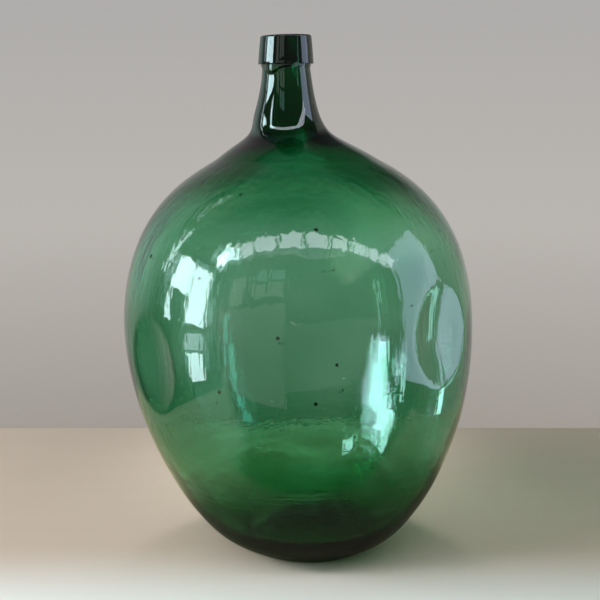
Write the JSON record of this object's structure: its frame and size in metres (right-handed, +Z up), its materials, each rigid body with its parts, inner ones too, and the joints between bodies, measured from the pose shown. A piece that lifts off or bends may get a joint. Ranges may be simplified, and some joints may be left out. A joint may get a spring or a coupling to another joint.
{
  "type": "demijohn",
  "caption": "Free-blown round-shouldered glass vessel with a narrow neck, an applied lip and a pushed-up base, for storing and pouring liquids.",
  "frame": {"origin": "on the surface that the vessel stands on, under the middle of the belly", "axes": "+Z up through the mouth, -Y the side that the picture shows, +X to the right in the picture"},
  "size_m": [0.345, 0.345, 0.507],
  "materials": {
    "body_glass": "polished",
    "lip_glass": "polished",
    "scar_glass": "rough"
  },
  "bodies": {
    "root": {"glass_body": "body_glass", "applied_lip": "lip_glass", "pontil_mark": "scar_glass"}
  },
  "joints": []
}
